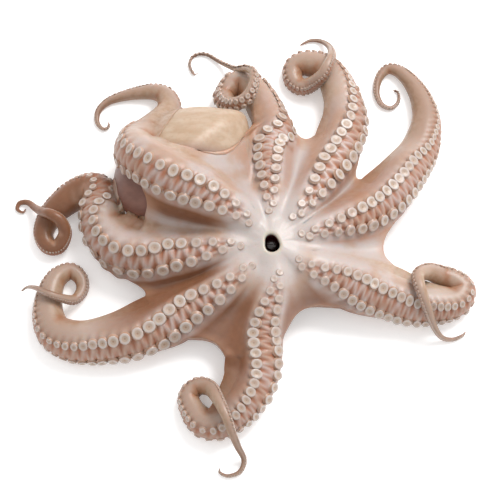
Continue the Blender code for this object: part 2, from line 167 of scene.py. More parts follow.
class Look:
    """One material: its Principled shader and the nodes that feed it."""

    def __init__(self, name, **constants):
        self.material = bpy.data.materials.new(name)
        self.material.use_nodes = True
        self.tree = self.material.node_tree
        self.shader = self.tree.nodes["Principled BSDF"]
        for socket, value in constants.items():
            self.shader.inputs[socket.replace("_", " ")].default_value = value

    def node(self, kind, *values, output=0, stops=None, **settings):
        """Any node: its settings, then the values or links of its sockets in order; None skips one."""
        made = self.tree.nodes.new(kind)
        for name, setting in settings.items():
            setattr(made, name, setting)
        if stops:
            points = made.color_ramp.elements
            while len(points) < len(stops):
                points.new(1)
            for point, (position, colour) in zip(points, stops):
                point.position, point.color = position, (*colour, 1)
        for socket, value in zip(made.inputs, values):
            if isinstance(value, Value):
                self.tree.links.new(value.socket, socket)
            elif value is not None:
                socket.default_value = value
        return Value(self, made.outputs[output])

    def attribute(self, name):
        return self.node("ShaderNodeAttribute", attribute_name=name, output=2)

    def noise(self, size, detail=2, stretch=(1, 1, 1)):
        """Soft random blotches of about that size in metres."""
        at = self.node("ShaderNodeMapping", self.node("ShaderNodeTexCoord", output=3), None, None, stretch)
        return self.node("ShaderNodeTexNoise", at, None, 1 / size, detail)

    def mix(self, first, second, share):
        """The second colour over the first, by that share."""
        made = self.tree.nodes.new("ShaderNodeMix")
        made.data_type = "RGBA"
        for number, value in ((0, share), (6, first), (7, second)):
            if isinstance(value, Value):
                self.tree.links.new(value.socket, made.inputs[number])
            else:
                made.inputs[number].default_value = (*value, 1) if number else value
        return Value(self, made.outputs[2])

    def feed(self, socket, value):
        self.tree.links.new(value.socket, self.shader.inputs[socket])

    def bump(self, height, depth):
        """Relief too fine for the mesh, its height in metres."""
        self.feed("Normal", self.node("ShaderNodeBump", 1, depth, None, height))


def tone(red, green, blue):
    """A colour as it looks in this light, turned into the share of light that the skin sends back."""
    return tuple((c / 255) ** 2.2 / 1.5 for c in (red, green, blue))


def mantle_skin():
    look = Look("mantle skin", Subsurface_Weight=0.15, Subsurface_Radius=(1, 0.35, 0.2), Subsurface_Scale=5 * MM,
                Coat_Weight=0.15, Coat_Roughness=0.3)
    streaks = look.noise(9 * MM, 4, (0.35, 1, 1))
    blotches = look.noise(4 * MM, 3)
    pale = look.mix(tone(200, 168, 138), tone(212, 184, 158), streaks.between(0.35, 0.65))
    pale = look.mix(pale, tone(186, 146, 110), blotches.between(0.5, 0.75) * 0.3)
    # the slack flank: the skin's own liver brown together with painted shade from arm ten lying over it
    dark = look.mix(tone(150, 102, 86), tone(130, 84, 70), streaks.between(0.3, 0.7))
    look.feed("Base Color", look.mix(pale, dark, look.attribute("shaded_flank")))
    look.feed("Roughness", 0.38 + 0.2 * blotches)
    look.bump(look.noise(2.2 * MM, 3), 0.15 * MM)
    return look.material


def mantle_sac():
    bm = bmesh.new()
    shaded_flank = bm.verts.layers.float.new("shaded_flank")
    rings = closed_tube(bm, SAC_SIDES, SAC_RINGS)
    for number, ring in enumerate(rings):
        share = 0.5 - 0.5 * math.cos(math.pi * (number + 0.5) / SAC_RINGS)
        half = float(sac_half_width(share))
        middle = sac_start + share * (sac_end - sac_start) + sac_shift(share) * sac_side
        centre = Vector((*middle, sac_middle(half)))
        for corner, vert in enumerate(ring):
            turn = 2 * math.pi * corner / SAC_SIDES
            out = Vector((*(sac_side * math.cos(turn)), SAC_FLATNESS * math.sin(turn)))
            lump = noise.noise((centre + out * half) / SAC_LUMP_SIZE) * SAC_LUMP_HEIGHT
            vert.co = centre + out * (half + lump)
            vert.co.z = resting(vert.co.z, SAC_GIVE)
            # the flank nearer the mouth, under arm ten, gets the brown and painted shade
            vert[shaded_flank] = ease((SHADED_FLANK_FROM - vert.co.y) / (SHADED_FLANK_FROM - SHADED_FLANK_TO))
    for ring in (rings[0], rings[-1]):
        bmesh.ops.poke(bm, faces=bmesh.ops.contextual_create(bm, geom=ring)["faces"])
    return finished("mantle_sac", bm, mantle_skin())


mantle_sac()

# ---------------------------------------------------------------- arms, web and crown
# Eight arms of solid muscle, wetted and slack, with a web of skin between them. Each leaves the
# crown round the mouth, thins from its waist and ends in a curl that lies over itself. One skin
# covers it all: pale on the oral side, pitted between the suckers, and browner on the back.
# Painted shade darkens its pits, the valleys of the web, the arms' sides beside them and tight bends.
#   route      the centreline, (x, y, z) in millimetres from the table under the mouth
#   roll       how far the suckers turn to the arm's left, as (share of the length, degrees)
#   girth      half the thickest width; the arm is half as thick at its waist, a share of the length
#   sharpness  how suddenly it thins there
#   web        how far out the web to the next arm reaches, how far its edge is drawn in, and for
#              how many millimetres it runs on as a ridge along this arm and the next
#   brown_and_shade  how dark the web to the next arm (painted shade), the arm's own end (its own
#              brown) and its right side (painted shade) are, from 0 to about 1
#   flank_shades  how much orange painted shade the arm's left and right sides get, 0 to 1
#   spacing    from one sucker to the next by the mouth, what that grows or falls to further out,
#              and how suddenly it shrinks towards the tip
ARMS = {
    "two": dict(
        route=[(20, 9, 50), (47, 19, 46), (75, 33, 37), (102, 50, 28), (125, 73, 22), (144, 101, 18),
               (159, 128, 15), (167, 158, 13), (164, 184, 11), (155, 206, 9), (142, 222, 8), (129, 227, 6),
               (119, 216, 5), (116, 199, 4), (121, 185, 4), (131, 181, 3), (139, 189, 2.5),
               (139, 200, 2.5), (133, 203, 2)],
        roll=[(0, -20), (0.06, -26), (0.12, -32), (0.2, -36), (0.32, -38), (0.42, -43), (0.48, -62),
              (0.56, -78), (0.7, -88), (1, -95)],
        girth=23.5, waist=0.64, sharpness=6, web=(113, 0.25, 80, 10), brown_and_shade=(0.35, 0.5, 0.6),
        flank_shades=(0.6, 0.9), spacing=(12.5, 13.8, 2.4)),
    "one": dict(
        route=[(15, 22, 50), (29, 43, 47), (48, 72, 38), (65, 102, 28), (75, 129, 22), (80, 158, 19),
               (77, 186, 17), (69, 211, 14), (56, 227, 11), (38, 232, 10), (26, 226, 9), (25, 213, 9),
               (33, 203, 11), (44, 202, 18), (55, 205, 32), (61, 214, 38), (66, 230, 33),
               (65, 250, 15), (57, 263, 4), (45, 265, 2.5), (33, 259, 2)],
        roll=[(0, -18), (0.06, -22), (0.14, -15), (0.2, -11), (0.28, -24), (0.34, -42), (0.45, -68),
              (0.6, -90), (0.75, -80), (0.85, -60), (1, -80)],
        girth=23.5, waist=0.63, sharpness=5, web=(124, 0.2, 70, 40), brown_and_shade=(0.1, 0.3, 0.35),
        flank_shades=(0.5, 0.7), spacing=(14, 14.6, 3.4)),
    "twelve": dict(
        route=[(0, 26, 50), (0, 46, 48), (0, 77, 42), (-1, 113, 34), (4, 139, 28), (-2, 161, 22),
               (-11, 182, 17), (-20, 199, 14), (-32, 207, 12), (-43, 202, 12), (-50, 188, 15),
               (-44, 174, 25), (-33, 169, 38), (-23, 175, 46), (-18, 189, 48), (-19, 202, 45),
               (-27, 212, 34), (-38, 220, 19), (-54, 235, 6), (-71, 247, 3), (-84, 245, 2.5),
               (-88, 234, 2.5), (-83, 223, 2), (-78, 226, 2)],
        roll=[(0, 3), (0.05, 7), (0.11, 12), (0.16, 10), (0.22, 2), (0.26, -45), (0.3, -80), (0.38, -98),
              (0.46, -90), (0.53, -62), (0.6, -45), (0.66, -62), (0.74, -80), (1, -90)],
        girth=21.5, waist=0.53, sharpness=5, web=(124, 0.3, 40, 50), brown_and_shade=(0.2, 0.35, 0.1),
        flank_shades=(0.5, 0.5), spacing=(13.4, 12.4, 1.3)),
    "ten": dict(
        route=[(-15, 19, 52), (-32, 32, 56), (-53, 44, 63), (-76, 55, 72), (-101, 65, 78), (-120, 78, 77),
               (-136, 94, 67), (-140, 111, 52), (-130, 129, 38), (-117, 149, 28), (-109, 170, 18),
               (-113, 189, 12), (-125, 197, 9), (-142, 197, 7), (-160, 194, 5), (-176, 188, 4),
               (-186, 177, 3.5), (-187, 164, 3), (-181, 156, 2.5), (-175, 158, 2.5), (-175, 165, 2)],
        roll=[(0, 8), (0.06, 13), (0.14, 21), (0.22, 37), (0.33, 48), (0.4, 60), (0.5, 100), (0.58, 180),
              (0.66, 250), (1, 270)],
        girth=24, waist=0.67, sharpness=6, web=(120, 0.14, 20, 90), brown_and_shade=(1.05, 0.4, 0.2),
        flank_shades=(0.8, 0.1), spacing=(15.6, 12.6, 2.4)),
    "nine": dict(
        route=[(-21, 1, 50), (-42, 1, 46), (-68, -1, 40), (-95, -2.5, 34), (-125, -1, 30), (-152, 7.5, 28),
               (-171, 27, 26), (-177, 49, 24), (-178, 67, 22), (-188, 77, 18), (-204, 73, 14),
               (-219, 62, 12), (-231, 49, 10), (-237, 31, 9), (-231, 17, 9), (-220, 16, 11),
               (-213, 27, 19), (-217, 37, 28), (-227, 43, 31), (-237, 49, 23), (-247, 59, 11),
               (-256, 68, 4), (-265, 68, 2.5), (-267, 61, 2), (-261, 57.5, 2), (-258, 62, 2)],
        roll=[(0, 6), (0.05, 11), (0.1, 18), (0.18, 24), (0.25, 48), (0.32, 63), (0.37, 60), (0.41, 45),
              (0.45, 0), (0.5, -65), (0.56, -105), (0.7, -95), (1, -90)],
        girth=25.5, waist=0.62, sharpness=4.5, web=(120, 0.25, 60, 80), brown_and_shade=(1, 1.05, 0.05),
        flank_shades=(0.8, 0.2), spacing=(17, 12.6, 5)),
    "seven": dict(
        route=[(-16, -13, 50), (-32, -28, 45), (-54, -43, 36), (-80, -57, 27), (-109, -71, 22),
               (-140, -84, 20), (-172, -89, 17), (-199, -88, 14), (-219, -78, 12), (-227, -60, 11),
               (-227, -39, 10), (-221, -20, 9), (-207, -11, 8), (-196, -19, 8), (-194, -32, 9),
               (-201, -44, 14), (-214, -46, 26), (-226, -43, 31), (-239, -35, 24), (-250, -29, 10),
               (-258, -31, 2)],
        roll=[(0, 15), (0.08, 20), (0.18, 18), (0.22, 24), (0.28, 44), (0.35, 56), (0.43, 60), (0.52, 76),
              (0.62, 88), (1, 95)],
        girth=24, waist=0.66, sharpness=6, web=(101, 0.25, 50, 125), brown_and_shade=(0.95, 0.3, 1),
        flank_shades=(0.8, 0.4), spacing=(13.2, 15, 3.3)),
    "six": dict(
        route=[(2, -19, 50), (2, -36, 44), (-4, -60, 34), (-10, -86, 25), (-12, -113, 21), (-18, -137, 18),
               (-33, -158, 16), (-50, -172, 14), (-67, -173, 13), (-79, -159, 11), (-83, -144, 10),
               (-73, -135, 12), (-61, -140, 20), (-53, -156, 37), (-45, -174, 43), (-40, -187, 35),
               (-34, -198, 19), (-28, -208, 6), (-32, -219, 3), (-43, -223, 2.5), (-51, -220, 2.5),
               (-52, -215, 2)],
        roll=[(0, 14), (0.08, 14), (0.14, 6), (0.2, 10), (0.28, 30), (0.34, 40), (0.4, 52), (0.47, 74),
              (0.6, 88), (1, 95)],
        girth=23, waist=0.55, sharpness=4, web=(67, 0.3, 10, 45), brown_and_shade=(0.8, 0.35, 0.95),
        flank_shades=(0.5, 0.9), spacing=(11, 12.2, 2.4)),
    "four": dict(
        route=[(18, -9, 50), (38, -18, 44), (64, -27, 34), (91, -36, 26), (118, -44, 22), (143, -50, 18),
               (169, -50, 15), (188, -45, 13), (195, -32, 12), (186, -23, 13), (173, -19, 16),
               (159, -19, 27), (147, -28, 41), (147, -42, 49), (151, -55, 47), (156, -65, 38),
               (163, -75, 21), (172, -82, 7), (183, -83, 2.5), (193, -79, 2.5), (198, -74, 2)],
        roll=[(0, -34), (0.08, -28), (0.14, -22), (0.2, -28), (0.26, -38), (0.35, -50), (0.5, -70),
              (0.62, -90), (1, -95)],
        girth=26, waist=0.54, sharpness=4, web=(107, 0.27, 80, 40), brown_and_shade=(0, 0.3, 1.1),
        flank_shades=(0.1, 0.9), spacing=(11.3, 11.7, 2.4)),
}
ROOM_SHARE = 0.46  # an arm's half width at the crown, as a share of the way to its neighbour
TIP_BLUNTNESS = 20  # how suddenly an arm's skin closes at its very tip
TIGHTEST_BEND = 0.9  # how much of the way to a bend's centre the skin may reach
CROWN_FLATNESS, CROWN_REACH = 0.6, 65 * MM  # how flat the arms are at the mouth, and where that ends
FLESH_GIVE = 2.5 * MM  # how much an arm flattens on the table
FIRST_SUCKER = 9 * MM
SMALLEST_SPACING = 0.8 * MM
NEAR_SUCKERS = 70 * MM  # how far out the spacing by the mouth is felt
SPACING_HALVED = 0.46  # the share of the arm's length by which its suckers are half as far apart
ROW_ANGLE, ROW_SPREAD, ROWS_APART = 13, 20, 90 * MM  # degrees by the mouth, what is added, and by where
PIT_DEPTH, SEAT_HEIGHT, RIB_HEIGHT = 0.17, 0.05, 0.09  # relief round a sucker, in shares of the spacing
RIDGE_HEIGHT = 0.11  # of the ridge that the web runs on as, in shares of its length
STEP_IN_WEB = 2 * MM
EVEN_STEPS_TO = 150 * MM  # beyond every web's reach, steps shorten with the suckers
STEPS_PER_SUCKER = 5
SHORTEST_STEP = 1.1 * MM
ORAL_CUTS = 12  # faces from an arm's middle line to where the web's upper side joins
SIDES = 38
UPPER = {1: ORAL_CUTS, -1: SIDES - ORAL_CUTS}  # corners of a ring where the web's upper side joins
LOWER = {1: ORAL_CUTS + 1, -1: SIDES - ORAL_CUTS - 1}
WEB_COLUMNS = 8
CROWN_WEB_ANGLE = 52  # degrees from the suckers to the web at the mouth
WEB_ANGLE, LEAST_WEB_ANGLE, MOST_WEB_ANGLE = 78, 50, 125  # from upright, and its limits on a turned arm
WEB_SETTLED = 60 * MM  # how far out the web has found that angle
WEB_THICKNESS_ANGLE = 18
WEB_SAG = 0.25
WEB_SLACK = 1 * MM
WEB_OVER_SAC = 4 * MM
ARM_OVER_SAC = 1.8 * MM
SOFTENED = 14  # how many times the join of web and arms is smoothed, and the skin round the mouth
SOFT_CROWN = 40 * MM
CROWN_RADIUS = 22 * MM
UNDER_CROWN = 30 * MM  # the height of the arms' common underside below the mouth
MOUTH_RADIUS = 8.3 * MM
MOUTH_HEIGHT = 58 * MM
MOUTH_DEPTH = 15 * MM
#   lips: (share of the way from the arms' ends to a circle, its radius, its height over the
#   mouth's height, darkness), all lengths in millimetres
LIPS = [(0.2, 19, -0.8, 0), (0.4, 17, -0.5, 0), (0.6, 15, 0, 0), (0.8, 13, 0.5, 0), (0.95, 11.2, 0.7, 0.04),
        (1, 9.8, 0.6, 0.08), (1, 8.8, -0.1, 0.12)]
#   gullet: (height over the mouth's height in millimetres, darkness) of the circles below them
GULLET = [(-1.5, 0.5), (-4, 0.9), (-8, 1)]
#     where the skin takes its colours and its painted shade, in degrees from the suckers or in shares of the length
SIDE_SHADE_FROM, SIDE_SHADE_WITHIN = 40, 32
BACK_FROM, BACK_WITHIN = 75, 60
END_FROM, END_WITHIN = 0.41, 0.1
CROWN_UNTINTED, TINT_GROWS, TINT_FADES = 15 * MM, 35 * MM, 90 * MM
FOLD_SHADE_BROWN, FOLD_SHADE_ORANGE = 0.42, 0.8  # painted shade inside a tight bend, brown and orange


class Arm:
    """One arm's centreline, thickness, roll and suckers, by the distance s from the crown."""

    def __init__(self, facts, behind, ahead):
        self.lines = [smooth_line(arm["route"]) * MM for arm in (facts, behind, ahead)]
        self.distances = [
            np.concatenate([[0], np.cumsum(np.linalg.norm(np.diff(line, axis=0), axis=1))]) for line in self.lines]
        self.length = float(self.distances[0][-1])
        self.roll_at, self.roll = zip(*facts["roll"])
        self.girth, self.waist, self.sharpness = facts["girth"] * MM, facts["waist"], facts["sharpness"]
        near, far, self.fall = facts["spacing"]
        self.near_spacing, self.spacing = near * MM, far * MM
        reach, self.web_bow, left_ridge, _ = facts["web"]
        self.web_reach = reach * MM
        self.ridges = {1: (reach * MM, left_ridge * MM), -1: (behind["web"][0] * MM, behind["web"][3] * MM)}
        self.flank_shades = {1: facts["flank_shades"][0], -1: facts["flank_shades"][1]}
        self.browns_and_shades = dict(zip((1, 0, -1), facts["brown_and_shade"]))
        self.fine = np.linspace(0, self.length, 1600)
        rate = 1 / self.sucker_pitch(self.fine)
        self.counted = np.concatenate([[0], np.cumsum(np.diff(self.fine) * (rate[1:] + rate[:-1]) / 2)])
        self.counted -= np.interp(FIRST_SUCKER, self.fine, self.counted)

    def point(self, s, line=0):
        """A point of the centreline, or of that of the arm behind (1) or ahead (2)."""
        return np.array([np.interp(s, self.distances[line], self.lines[line][:, i]) for i in range(3)])

    def thickness(self, s):
        """Half the arm's width: its own, or what room its neighbours leave it at the crown."""
        out = s / self.length
        own = self.girth / (1 + (out / self.waist) ** self.sharpness) * (1.001 - out**TIP_BLUNTNESS) ** 0.5
        room = ROOM_SHARE * min(np.linalg.norm(self.point(s) - self.point(s, line)) for line in (1, 2))
        return (own**-4 + room**-4) ** -0.25

    def sucker_pitch(self, s):
        """From one sucker to the next in a row."""
        first = (self.near_spacing - self.spacing) * np.exp(-((s / NEAR_SUCKERS) ** 2))
        return (self.spacing + first) / (1 + (s / self.length / SPACING_HALVED) ** self.fall) + SMALLEST_SPACING

    def row_angle(self, s):
        """How many degrees each row of suckers stands off the arm's middle line."""
        return ROW_ANGLE + ROW_SPREAD * ease(s / ROWS_APART)

    def suckers(self, side):
        """Where the suckers of a row stand: half a step further out on the right than on the left."""
        last = int(self.counted[-1] - 0.5)
        return np.interp(np.arange(last) + (0.5 if side < 0 else 0), self.counted, self.fine)

    def rolled(self, s):
        return float(np.interp(s / self.length, self.roll_at, self.roll))

    def frame(self, s):
        """The centre, the direction of the suckers, and the direction to their left."""
        reach = 2 * MM
        ahead = self.point(s + reach) - self.point(s - reach)
        ahead /= np.linalg.norm(ahead)
        left = np.cross((0, 0, 1), ahead)
        left /= np.linalg.norm(left)
        turn = math.radians(self.rolled(s))
        up = np.cross(ahead, left)
        return self.point(s), up * math.cos(turn) + left * math.sin(turn), left * math.cos(turn) - up * math.sin(turn)

    def ridge(self, s, side):
        """How far the web stands out from a side of the arm, where it runs on as a ridge."""
        reach, length = self.ridges[side]
        return RIDGE_HEIGHT * length * ease(s / reach) * ease((reach + length - s) / length)

    def tint(self, s, side):
        """How much brown and orange painted shade the arm gets where a side of it meets the web."""
        grown = ease((s - CROWN_UNTINTED) / TINT_GROWS)
        shown = float(grown * ease((self.ridges[side][0] + TINT_FADES - s) / TINT_FADES))
        return self.browns_and_shades[side] * shown, self.flank_shades[side] * shown

    def folded(self, s, offsets):
        """Keeps the inner side of a tight bend from passing through itself."""
        reach = 5 * MM
        self.inward = np.zeros(len(offsets))
        if not reach < s < self.length - reach:
            return offsets
        bend = (self.point(s - reach) + self.point(s + reach) - 2 * self.point(s)) / reach**2
        inward = offsets @ bend
        self.inward = inward
        free = TIGHTEST_BEND * 2 / 3
        spare = TIGHTEST_BEND - free
        kept = np.where(inward > free, free + spare * np.tanh((inward - free) / spare), inward)
        return offsets - np.outer(inward - kept, bend) / (bend @ bend + 1e-9)

    def relief(self, s, angles):
        """How far the skin stands out under and between the suckers, and how much painted shade it gets in the pits
        between them.
        """
        half, pitch = self.row_angle(s), self.sucker_pitch(s)
        left = np.interp(s, self.fine, self.counted)
        off = abs(angles)
        own = np.cos(2 * np.pi * np.where(angles >= 0, left, left - 0.5))
        quarter = (1 - np.clip(angles / half, -1, 1)) / 4
        struts = np.maximum(np.cos(2 * np.pi * (left - quarter)), np.cos(2 * np.pi * (left + quarter)))
        struts = (0.5 + 0.5 * struts) ** 3
        inside = 1 - ease((off - half + 6) / 10)
        under = np.exp(-(((off - half) / 12) ** 2))
        rib = ease((off - half) / 10) * ease((half + 30 - off) / 20)
        strength = ease((s + 4 * MM) / (40 * MM)) * ease(pitch / (3 * MM))
        height = PIT_DEPTH * inside * (struts - 1) + SEAT_HEIGHT * under * own + RIB_HEIGHT * rib * own
        # painted shade in the pits between the suckers and beside the ribs
        pit_shade = inside * (1 - 0.85 * struts) + 0.5 * rib * (0.5 - 0.5 * own)
        return height * pitch * strength, np.clip(pit_shade * strength, 0, 1)

    def skin(self, s, angles, raised):
        """Points of the skin at such angles from the suckers' side, raised so far from the round.
        Towards the mouth the arms flatten and run together."""
        centre, suckers, left = self.frame(s)
        radius = self.thickness(s)
        turns = np.radians(angles)
        offsets = np.outer(np.cos(turns), suckers) + np.outer(np.sin(turns), left)
        offsets = self.folded(s, offsets * (radius + raised)[:, None])
        offsets[:, 2] += self.flatness(s) * (0.8 * radius - offsets[:, 2])
        return rested(centre + offsets)

    def flatness(self, s):
        return CROWN_FLATNESS * (1 - ease(s / CROWN_REACH))


def rested(points):
    """Flesh lies on the table and on the sac."""
    top = sac_top(points)
    lift = np.maximum(top + ARM_OVER_SAC - points[:, 2], 0)
    points[:, 2] += lift * ease((points[:, 2] / np.maximum(top, 1 * MM) - 0.3) / 0.35)
    points[:, 2] = resting(points[:, 2], FLESH_GIVE)
    return points


def ring_angles(arm, s):
    """The corners' angles from the sucker side: to the left down to -180, and to the right from 180.
    The web leaves each side of an arm where that side is nearly upright."""
    roll = arm.rolled(s)
    settled = ease(s / WEB_SETTLED)
    left, right = (
        CROWN_WEB_ANGLE + (np.clip(WEB_ANGLE - turn, LEAST_WEB_ANGLE, MOST_WEB_ANGLE) - CROWN_WEB_ANGLE) * settled
        for turn in (roll, -roll))
    shares = np.linspace(0, 1, ORAL_CUTS + 1) ** 1.25
    back = np.linspace(left + WEB_THICKNESS_ANGLE, 360 - right - WEB_THICKNESS_ANGLE, SIDES - 2 * ORAL_CUTS - 1)
    angles = np.concatenate([left * shares, back, 360 - right * shares[:0:-1]])
    return np.where(angles > 180, angles - 360, angles)


def place_ring(arm, s, ring, layers):
    angles = ring_angles(arm, s)
    raised, pit_shades = arm.relief(s, angles)
    for side in (1, -1):
        raised[[UPPER[side], LOWER[side]]] += arm.ridge(s, side)
    places = arm.skin(s, angles, raised)
    side_shades = {side: arm.tint(s, side) for side in (1, -1)}
    end = arm.browns_and_shades[0] * ease((s / arm.length - END_FROM) / END_WITHIN)
    for vert, place, pit_shade, angle, inward in zip(ring, places, pit_shades, angles, arm.inward):
        # painted shade, brown and orange, on the sides that meet the web; the brown towards the end is the arm's own
        brown_and_shade, shaded_flank = side_shades[1 if angle > 0 else -1]
        aside = ease((abs(angle) - SIDE_SHADE_FROM) / SIDE_SHADE_WITHIN)
        # painted shade inside a tight bend, where the arm turns in on itself
        fold_shade = ease((inward - 0.1) / 0.4)
        vert.co = place
        vert[layers["pit_shade"]] = pit_shade
        vert[layers["back"]] = ease((abs(angle) - BACK_FROM) / BACK_WITHIN)
        vert[layers["out"]] = s / arm.length
        vert[layers["brown_and_shade"]] = max(brown_and_shade * aside, end) * (1 - fold_shade) + FOLD_SHADE_BROWN * fold_shade
        vert[layers["shaded_flank"]] = max(shaded_flank * aside, FOLD_SHADE_ORANGE * fold_shade)


def arm_tube(bm, arm, layers):
    """The arm as a list of rings, closed at its tip."""
    stations = list(np.arange(0, EVEN_STEPS_TO, STEP_IN_WEB))
    while stations[-1] < arm.length - SHORTEST_STEP:
        stations.append(stations[-1] + max(arm.sucker_pitch(stations[-1]) / STEPS_PER_SUCKER, SHORTEST_STEP))
    stations[-1] = arm.length
    rings = closed_tube(bm, SIDES, len(stations))
    for s, ring in zip(stations, rings):
        place_ring(arm, s, ring, layers)
    bmesh.ops.pointmerge(bm, verts=rings[-1], merge_co=arm.point(arm.length))
    return rings[:-1]


def clear_of(arm, places):
    """Points of the web beside stations of an arm, moved out of the arm's own round flank."""
    stations = np.arange(len(places)) * STEP_IN_WEB
    centres = np.array([arm.point(s) for s in stations])
    radii = np.array([[arm.thickness(s)] for s in stations])
    off = places - centres
    far = np.linalg.norm(off, axis=1)[:, None]
    return centres + off / far * (far**10 + radii**10) ** 0.1


def web_side(bm, start, end, arm, other, drop, layers):
    """One side of the web, welded to the rows of vertices start and end of two arms; gives its columns."""
    grid = bmesh.ops.create_grid(bm, x_segments=len(start) - 1, y_segments=WEB_COLUMNS, size=1)["verts"]
    rows = [grid[n * len(start):(n + 1) * len(start)] for n in range(WEB_COLUMNS + 1)]
    near, far = (np.array([vert.co for vert in row]) for row in (start, end))
    out = np.linspace(0, 1, len(start))[:, None]
    for number, row in enumerate(rows[1:-1], 1):
        share = number / WEB_COLUMNS
        belly = 4 * share * (1 - share)
        places = near + (far - near) * share
        inward = places * (-1, -1, 0)
        inward /= np.linalg.norm(inward, axis=1)[:, None]
        gap = np.linalg.norm(far - near, axis=1)[:, None]
        places += inward * belly * (out * arm.web_bow * gap - WEB_SLACK)
        places[:, 2] *= 1 - belly * WEB_SAG * out[:, 0]
        top = sac_top(places)
        over = ARM_OVER_SAC + (WEB_OVER_SAC - ARM_OVER_SAC) * ease(1.5 * belly) - drop
        places[:, 2] = np.where(top > 0, np.maximum(places[:, 2], top + over), places[:, 2])
        if not drop:
            places = clear_of(other, clear_of(arm, places))
        for step, (vert, place) in enumerate(zip(row, places)):
            s = step * STEP_IN_WEB
            # painted shade in the web: brown in its valley and orange where it meets the arms' sides
            (brown_and_shade, shaded_flank), (far_brown, far_flank) = arm.tint(s, 1), other.tint(s, -1)
            vert.co = place
            vert[layers["back"]] = 1 if drop else 0
            vert[layers["brown_and_shade"]] = min(brown_and_shade, brown_and_shade + (far_brown - brown_and_shade) * ease(3 * share - 1.3))
            vert[layers["shaded_flank"]] = max(shaded_flank * ease(1 - 2.5 * share), far_flank * ease(2.5 * share - 1.5))
            vert[layers["out"]] = s / arm.length
            vert[layers["rim"]] = belly * ease((s / arm.web_reach - 0.8) / 0.2)
    bmesh.ops.weld_verts(bm, targetmap=dict(zip(rows[0] + rows[-1], start + end)))
    return [start, *rows[1:-1], end]


def open_side(bm, rings, side, reach):
    """Takes away the strip of an arm's skin that the web covers."""
    strip = []
    for near, far in zip(rings[:reach], rings[1:reach + 1]):
        corner = {near[UPPER[side]], near[LOWER[side]], far[UPPER[side]], far[LOWER[side]]}
        strip += [f for f in near[UPPER[side]].link_faces if set(f.verts) == corner]
    bmesh.ops.delete(bm, geom=strip, context="FACES")


def join_web(bm, rings, others, arm, other, layers):
    """The web from one arm's left side to the next arm's right side: its two rows at the crown, and
    the skin that blends it with the arms."""
    reach = round(arm.web_reach / STEP_IN_WEB)
    sides = []
    for corners, drop in ((UPPER, 0), (LOWER, WEB_OVER_SAC * 1.5)):
        start = [ring[corners[1]] for ring in rings[:reach + 1]]
        end = [ring[corners[-1]] for ring in others[:reach + 1]]
        sides.append(web_side(bm, start, end, arm, other, drop, layers))
    upper, lower = sides
    open_side(bm, rings, 1, reach)
    open_side(bm, others, -1, reach)
    for a, b, c, d in zip(upper, upper[1:], lower, lower[1:]):
        bm.faces.new((a[-1], b[-1], d[-1], c[-1]))
    soft = [vert for column in upper for vert in column[:-1]]
    soft += [ring[UPPER[1] - step] for ring in rings[:reach] for step in (1, 2)]
    soft += [ring[UPPER[-1] + step] for ring in others[:reach] for step in (1, 2)]
    return [column[0] for column in upper[1:-1]], [column[0] for column in lower[1:-1]], soft


def close_crown(bm, loop, rims, layers):
    """Narrows a loop of the crown through circles of (share, radius, height, darkness)."""
    first = [v.co.copy() for v in loop]
    for share, radius, height, dark in rims:
        made = bmesh.ops.extrude_edge_only(bm, edges=[bm.edges.get(pair) for pair in zip(loop, loop[1:] + loop[:1])])
        new = {v for v in made["geom"] if isinstance(v, bmesh.types.BMVert)}
        loop = [next(e.other_vert(v) for e in v.link_edges if e.other_vert(v) in new) for v in loop]
        for vert, start in zip(loop, first):
            around = math.atan2(start.y, start.x)
            uneven = 1 + 0.14 * math.cos(2 * around - 3.5) + 0.05 * math.cos(3 * around + 0.7)
            flat = Vector((start.x, start.y, 0)).normalized() * radius * uneven
            vert.co = start.lerp(Vector((flat.x, flat.y, height)), share)
            vert[layers["mouth"]] = dark
    bmesh.ops.pointmerge(bm, verts=loop, merge_co=Vector((0, 0, rims[-1][2])))


def flesh_skin():
    look = Look("octopus skin", Subsurface_Weight=0.3, Subsurface_Radius=(1, 0.35, 0.2), Subsurface_Scale=4 * MM,
                Specular_IOR_Level=0.3, Coat_Weight=0.18, Coat_Roughness=0.18)
    pit_shade, back, out, rim, brown_and_shade, shaded_flank, mouth = (
        look.attribute(name) for name in ("pit_shade", "back", "out", "rim", "brown_and_shade", "shaded_flank", "mouth"))
    broad, blotch, fine = look.noise(35 * MM, 3), look.noise(6 * MM, 3), look.noise(1.2 * MM, 2)
    oral = look.mix(tone(217, 202, 196), tone(208, 177, 158), broad.between(0.42, 0.64))
    oral = look.mix(oral, tone(208, 182, 165), out.between(0.25, 0.55))
    skin = look.mix(tone(215, 188, 164), tone(200, 168, 138), blotch.between(0.35, 0.7))
    skin = look.mix(skin, tone(156, 125, 105), out.between(0.74, 0.93))
    colour = look.mix(oral, skin, back)
    # orange painted shade on the arms' sides where they meet the web, and inside tight bends
    colour = look.mix(colour, look.mix(tone(208, 142, 100), tone(182, 114, 74), blotch), shaded_flank * 0.75)
    # brown: painted shade in the web's valleys, on the arms' sides beside them and inside tight bends, and the arms'
    # own brown towards their ends
    colour = look.mix(colour, look.mix(tone(154, 102, 70), tone(130, 83, 56), blotch), brown_and_shade * 0.9)
    # orange-brown painted shade in the pits between the suckers
    colour = look.mix(colour, look.mix(tone(204, 132, 92), tone(156, 90, 62), broad), pit_shade * 0.95)
    colour = look.mix(colour, tone(214, 160, 126), rim * 0.6)
    colour = look.mix(colour, tone(219, 206, 200), 1 - out.between(0, 0.07))
    colour = look.mix(colour, tone(218, 208, 192), mouth.between(0, 0.08))
    colour = look.mix(colour, tone(70, 22, 26), mouth.between(0.1, 0.9))
    look.feed("Base Color", look.mix(colour, tone(150, 100, 78), fine.between(0.6, 0.75) * 0.2))
    look.feed("Roughness", 0.3 + 0.2 * blotch)
    look.bump(look.noise(0.9 * MM, 3) + 2 * blotch, 0.12 * MM)
    return look.material


